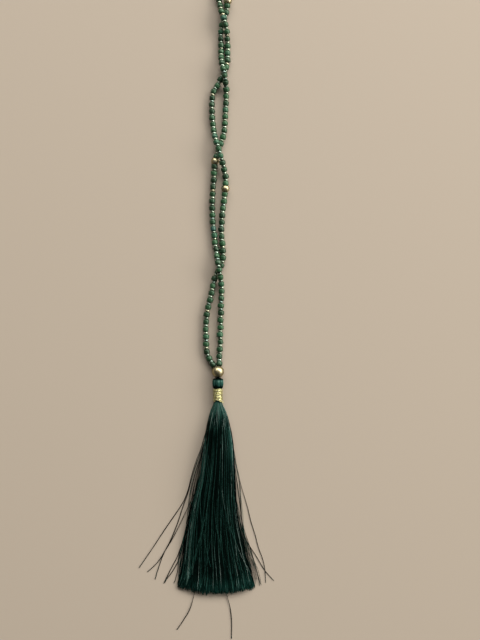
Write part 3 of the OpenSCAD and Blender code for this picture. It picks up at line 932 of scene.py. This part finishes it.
def add_winding(yarn):
    """The gold yarn: one close layer round the neck, a looser one that crosses it, and its end."""
    yarn_radius = 0.16
    close_turns = 21
    crossing_turns = 13
    crossing_passes = 3
    crossing_start = 2
    stops = close_turns * 26
    angle = np.linspace(0, close_turns * 2 * math.pi, stops)
    share = angle / angle[-1]
    wobble = 0.05 * np.sin(angle * 0.37) + 0.04 * np.sin(angle * 0.83 + 1)
    # The lowest turns arch up over the skirt's top
    arch = np.clip(np.cos(angle), 0, 1) ** 2 * np.interp(share, (0.8, 1), (0, 1.1))
    y = BINDING_TOP - yarn_radius - share * (BINDING_LENGTH - 2 * yarn_radius) + wobble + arch
    r = BINDING_RADIUS - 3 * yarn_radius + 0.04 * np.sin(angle * 1.7)
    close = round_neck(angle, r, y)

    turned = np.linspace(0, crossing_turns * 2 * math.pi, stops)
    angle = turned + crossing_start
    sweep = 0.5 - 0.5 * np.cos(turned / turned[-1] * crossing_passes * math.pi)
    y = BINDING_TOP - 0.3 - sweep * (BINDING_LENGTH - 1.4) + 0.1 * np.sin(angle * 0.61)
    r = BINDING_RADIUS - yarn_radius + 0.03 * np.sin(angle * 2.3)
    crossing = round_neck(angle, r, y)
    winding = thread_piece(
        "gold_winding", [close, crossing], yarn_radius, sides=6, tones=[0.4, 0.8], up=(0, 1, 0))
    dress(winding, yarn, "gold_thread", "gold_binding")

    foot = BINDING_TOP - BINDING_LENGTH
    tail = respaced(smooth_line([
        (0.7, foot + 0.75, HEAD_Z + 2.35), (1.5, foot + 0.45, HEAD_Z + 1.95),
        (2.1, foot + 0.15, HEAD_Z + 1.45), (2.7, foot - 0.15, HEAD_Z + 0.9)]), 16)
    doubled = [tail, tail + (0.1, 0.3, 0.05)]
    end = thread_piece("gold_winding_tail", doubled, yarn_radius, sides=6, tones=[0.9, 0.9])
    dress(end, yarn, "gold_thread", "gold_binding")


def skirt_column(column, share):
    """One column of the skirt's sections, at a share of its length."""
    return np.interp(share, SKIRT_ROWS[:, 0], SKIRT_ROWS[:, column])


def skirt_places(across, deep, share):
    """Places in the skirt, by the share across it, from underside to top, and down its length."""
    left, right, under, edge, top, groove = (skirt_column(k, share) for k in range(1, 7))
    inside = np.clip(across, 0, 1)
    dome = np.sqrt(np.clip(1 - (2 * inside - 1) ** 2, 0, 1))
    wander = 1.4 * np.sin(9 * share + 5 * inside)
    crest = np.abs(np.sin(math.pi * inside * LOCKS + wander))
    # The loose threads nearly fill the grooves between the locks
    left_open = 0.15
    high = edge + (top - edge) * dome * (1 - groove * left_open * (1 - crest))
    low = under + (edge - under) * np.clip(1 - 2 * dome, 0, 1)
    return np.stack([left + (right - left) * across,
                     SKIRT_TOP - share * SKIRT_LENGTH,
                     low + (high - low) * deep], axis=-1)


def in_disc(count):
    """Evenly scattered places in the skirt's section: share across and share of its depth."""
    turn = rng.uniform(0, 2 * math.pi, count)
    out = np.sqrt(rng.uniform(0, 1, count))
    across = out * np.cos(turn)
    room = np.sqrt(1 - across ** 2)
    return (across + 1) / 2, 0.5 + 0.5 * out * np.sin(turn) / room


def waves(count, share, size, beats):
    """A gentle sideways wander for each thread, down its length; beats is the range of its waves."""
    beats = rng.uniform(*beats, (count, 1))
    phase = rng.uniform(0, 2 * math.pi, (count, 1))
    return size * rng.uniform(0.3, 1, (count, 1)) * np.sin(2 * math.pi * beats * share + phase)


def cut_short(across):
    """How much shorter the skirt is towards its left and right corners, as a share of its length."""
    return np.where(across < 0.5, *SIDE_RISES) * (2 * across - 1) ** 2 / SKIRT_LENGTH


def drawn_in(across, share):
    """Places across the skirt, moved inwards where the dense silk draws in from its edges."""
    left, right = (np.interp(share, DRAWN_IN_ROWS[:, 0], DRAWN_IN_ROWS[:, k]) for k in (1, 2))
    return across + left * (1 - across) ** 3 - right * across ** 3


def painted_light_down_skirt(tones, across, share):
    """The threads' tones down the skirt, with painted light and shade: lighter where the winding draws them
    tight and the slope catches the light, darker in the middle as painted shade between loose threads, and
    lighter low down as painted light at the cut end.
    """
    # By the share of the length that the skirt has at this place across it
    share = share * (1 + cut_short(across))
    # Painted shade: a thread keeps less of its tone along the middle; painted light: tones raised near the
    # winding and at the cut end
    own_part = np.interp(share, (0, 0.2, 0.5, 0.85, 0.94, 1), (0.35, 0.75, 0.71, 0.78, 0.86, 1.35))
    lighter = np.interp(share, (0, 0.05, 0.1, 0.17, 0.94, 1), (0.76, 0.7, 0.45, 0, 0, 0.27))
    return np.clip(tones * own_part + lighter, 0, 1)


def floss_radius(share):
    """Half a thread's width: thin where the winding holds it, and looser below it.

    A few filaments make one thread here, since a single one is too fine to show.
    """
    return np.interp(share, (-0.05, 0.02, 0.25), (0.07, 0.08, 0.15))


def lay_silk(name, paths, radius, tones, silk):
    """Adds silk threads with three sides each, since they are so many, and none below the floor."""
    paths[..., 2] = np.maximum(paths[..., 2], radius)
    threads = thread_piece(name, paths, radius, sides=3, tones=tones)
    dress(threads, silk, "silk", "silk_tassel")


def add_skirt(silk):
    """The skirt's body: dark floss in small wisps, fanned out and cut off a little unevenly."""
    count = 1500
    wisps = 170
    stops = 18
    wider = 1.03
    start = -0.04
    across, deep = in_disc(count)
    across = 0.5 + (across - 0.5) * wider
    wisp_across, wisp_deep = in_disc(wisps)
    apart = (across[:, None] - wisp_across) ** 2 * 4 + (deep[:, None] - wisp_deep) ** 2
    own = np.argmin(apart, axis=1)
    run = np.linspace(0, 1, stops)
    shorter = rng.normal(1.4, 0.8, count) + 1.3 * rng.uniform(0, 1, wisps)[own]
    end = 1 - cut_short(across) - shorter / SKIRT_LENGTH
    share = start + (end[:, None] - start) * run ** 1.5

    # A thread keeps to its wisp more and more over the skirt's first third
    gather = np.interp(share, (0, 1 / 3), (0, 0.45))
    sway = waves(wisps, run, size=0.036, beats=(0.4, 1.4))[own]
    sway = sway + waves(count, share, size=0.014, beats=(0.7, 3))
    sideways = (across[:, None] * (1 - gather) + wisp_across[own][:, None] * gather
                + sway * np.interp(share, (0, 0.2), (0, 1)))
    # The cut end swings out a little at its two corners
    flare = np.interp(across, (0, 0.2, 0.8, 1), (-0.015, 0, 0, 0.03))
    flare = flare[:, None] * np.interp(share, (0.85, 1), (0, 1.2))
    sideways = drawn_in(np.clip(sideways, -0.01, 1.01), share) + flare
    lift = waves(count, share, size=0.09, beats=(0.8, 3))
    upward = (deep[:, None] * (1 - gather) + wisp_deep[own][:, None] * gather
              + lift * np.interp(share, (0, 0.25), (0, 1)))
    paths = skirt_places(sideways, np.clip(upward, 0, 1.01), share)

    tones = 0.8 * rng.beta(1.3, 4, count) + rng.normal(0, 0.08, wisps)[own]
    # Painted light on the right flank, which faces the window to the right
    painted_right_light = np.interp(across, (2 / 3, 1), (0, 0.15))
    tones = np.clip(tones + painted_right_light, 0, 0.85)
    tones = painted_light_down_skirt(tones[:, None], across[:, None], share)
    lay_silk("silk_skirt", paths, floss_radius(share), tones, silk)


def threads_over(painted_lit, first, last, turn, sway):
    """Threads that lie on the skirt: how far down each starts and ends, how it turns and sways."""
    count = len(painted_lit)
    run = np.linspace(0, 1, 24)
    begin = rng.uniform(*first, count)[:, None]
    end = rng.uniform(*last, count)
    # Their tips are spread from the left edge to the right one, and their roots follow them
    tip = 0.02 + 0.96 * (np.arange(count) + rng.uniform(0, 1, count)) / count
    share = begin + ((end - cut_short(tip))[:, None] - begin) * run
    root = np.clip(0.5 + 0.9 * (tip - 0.5) + rng.normal(0, turn, count), 0.03, 0.97)
    lying = root[:, None] + (tip - root)[:, None] * run + waves(count, share, sway, beats=(0.6, 2))
    lying = drawn_in(np.clip(lying, 0.01, 0.99), share)
    deep = np.where(painted_lit, rng.uniform(1.02, 1.05, count), rng.uniform(0.98, 1.02, count))
    # Each comes up out of the silk at its root
    tucked_in = 0.15 * np.exp(-run * 14)
    return skirt_places(lying, deep[:, None] - tucked_in, share), share


def painted_lit_ones(count, part):
    """Which threads, counted from left to right, are painted lighter as if they caught the light: more of
    them near the edges.
    """
    more = np.interp(np.linspace(0, 1, count), (0, 0.25, 0.4, 0.75, 1), (2.4, 1.6, 0.6, 0.8, 1.4))
    return rng.random(count) < part * more


def add_top_layer(silk):
    """The silk that shows: fine threads side by side, some painted lighter as if they caught the light, and
    some that cross the rest.
    """
    close = painted_lit_ones(count=600, part=0.034)
    crossing = painted_lit_ones(count=400, part=0.085)
    paths, share = zip(
        threads_over(close, first=(-0.02, 0.06), last=(0.94, 0.996), turn=0.06, sway=0.012),
        threads_over(crossing, first=(0, 0.45), last=(0.8, 0.999), turn=0.2, sway=0.014))
    paths = np.concatenate(paths)
    share = np.concatenate(share)
    count = len(paths)
    left, right = skirt_column(1, share), skirt_column(2, share)
    across = (paths[..., 0] - left) / (right - left)

    # Painted light: the chosen threads get light tones, with a painted shine of their own, and the rest
    # keep dark random tones
    painted_lit = np.concatenate([close, crossing])[:, None]
    painted_shine = rng.uniform(0.75, 1.25, (count, 1))
    bright = painted_shine * np.interp(share, (0.03, 0.25), (0.95, 1.04))
    tones = np.where(painted_lit, bright, rng.beta(1.2, 4, (count, 1)))
    # Painted glints: each thread's tone rises and falls along it, more on the lighter-painted threads
    tones = tones + waves(count, share, size=0.06 + 0.12 * painted_lit, beats=(1, 3))
    # Painted shade and light across the skirt: a little darker left of the middle, lighter on the right
    # flank, and a painted light band high up on the right, which faces the window
    painted_flank_shading = np.interp(across, (0.1, 0.3, 0.5, 0.7, 1), (1, 0.86, 0.94, 0.9, 1.12))
    painted_right_light = np.interp(across, (0.7, 0.88), (0, 0.72))
    painted_high_light = np.interp(share, (0.08, 0.13, 0.28, 0.4), (0, 1, 0.95, 0.4))
    tones = np.maximum(painted_light_down_skirt(tones * painted_flank_shading, across, share), painted_shine * painted_right_light * painted_high_light)
    finer = np.where(painted_lit, np.interp(share, (0.05, 0.3), (0.66, 0.6)), 0.93)
    lay_silk("silk_top_layer", paths, floss_radius(share) * finer, tones, silk)


def add_fringe(silk):
    """Single threads that have come away from the skirt's two edges, with gaps between them."""
    run = np.linspace(0, 1, 20)
    ease = run * run * (3 - 2 * run)
    # Each group: how many threads, how far down they come away, where across the skirt their roots
    # and tips are, how far the first and the last one bow inwards or out, and how far down that is
    groups = (
        (16, (0.1, 0.2), (0.03, 0.15), (0.01, 0.1), (0.06, -0.11), 0.4),
        (10, (0.45, 0.6), (0.03, 0.1), (0, 0.06), (0, 0), 0.5),
        (5, (0.1, 0.2), (0.9, 0.97), (0.95, 1.0), (0.01, 0.09), 0.5),
        (10, (0.5, 0.68), (0.93, 0.98), (0.98, 1.11), (0, 0), 0.5),
    )
    bow_reach = 0.2
    radius = 0.11
    paths = []
    for count, starts, roots, tips, bows, bowed_at in groups:
        begin = rng.uniform(*starts, count)[:, None]
        share = begin + (rng.uniform(0.84, 0.985, count)[:, None] - begin) * run
        root = rng.uniform(*roots, count)[:, None]
        tip = rng.uniform(*tips, count)[:, None]
        bow = np.linspace(*bows, count)[:, None] * np.exp(-((share - bowed_at) / bow_reach) ** 2)
        wander = waves(count, share, size=0.008, beats=(0.7, 2))
        height = np.broadcast_to(rng.uniform(0.1, 0.9, count)[:, None], share.shape)
        paths.append(skirt_places(root + (tip - root) * ease + bow + wander, height, share))
    paths = np.concatenate(paths)
    lay_silk("loose_silk", paths, radius, rng.uniform(0.2, 0.85, len(paths)), silk)


def add_strays(silk):
    """The single threads that lie well away from the skirt, on the surface."""
    radius = 0.21
    finer = 0.75
    stops = 24
    # A root lies this high in the skirt, and comes down to the floor over a few steps of the line
    root_height = 2
    steps_down = 7
    paths, widths = [], []
    for name, pixels in STRAYS.items():
        line = smooth_line([(*photo_place(pixel), radius) for pixel in pixels])
        line[:, 2] += root_height * np.exp(-np.arange(len(line)) / steps_down)
        paths.append(respaced(line, stops))
        widths.append(finer if name.startswith(("right", "left_near")) else 1)
    along = np.interp(np.linspace(0, 1, stops), (0, 0.35, 0.6, 1), (0.6, 0.65, 1, 0.8))
    radii = radius * np.array(widths)[:, None] * along
    strays = thread_piece("stray_silk", paths, radii, sides=4, tones=[0.35] * len(paths))
    dress(strays, silk, "silk", "silk_tassel")


def add_floor():
    """The plain floor under the mala, which isn't a piece of it."""
    bpy.ops.object.select_all(action="DESELECT")
    bpy.ops.mesh.primitive_plane_add(size=20)
    floor = bpy.context.object
    floor.name = "floor"
    floor.data.materials.append(matt_studio_paper())


def build():
    """Sets up the camera, the light and the floor, and makes every piece of the mala."""
    add_camera()
    add_light()
    add_floor()
    materials = {
        "seed_beads": glazed_seed_glass(),
        "spacers": plated_spacer_metal(),
        "thread": beading_thread(),
    }
    gold = polished_gold_plating()
    silk = silk_floss()
    beads = {
        "seed_beads": tumbled_bead(SEED_DIAMETER, SEED_LENGTH, SEED_HOLE, sides=10, rounding=0.45),
        "spacers": tumbled_bead(SPACER_DIAMETER, SPACER_LENGTH, SPACER_HOLE, sides=9, rounding=0.55),
    }
    add_strand("right", RIGHT_ROUTE, RIGHT_LEAD, RIGHT_RUNS, RIGHT_SLIPS, beads, materials)
    add_strand("left", LEFT_ROUTE, LEFT_LEAD, LEFT_RUNS, LEFT_SLIPS, beads, materials)
    for template in beads.values():
        bpy.data.objects.remove(template)
    add_gold_beads(gold)
    add_guru(gold)
    add_head(silk)
    add_tassel_cord(silk)
    add_winding(gold_film_yarn())
    add_skirt(silk)
    add_top_layer(silk)
    add_fringe(silk)
    add_strays(silk)


build()
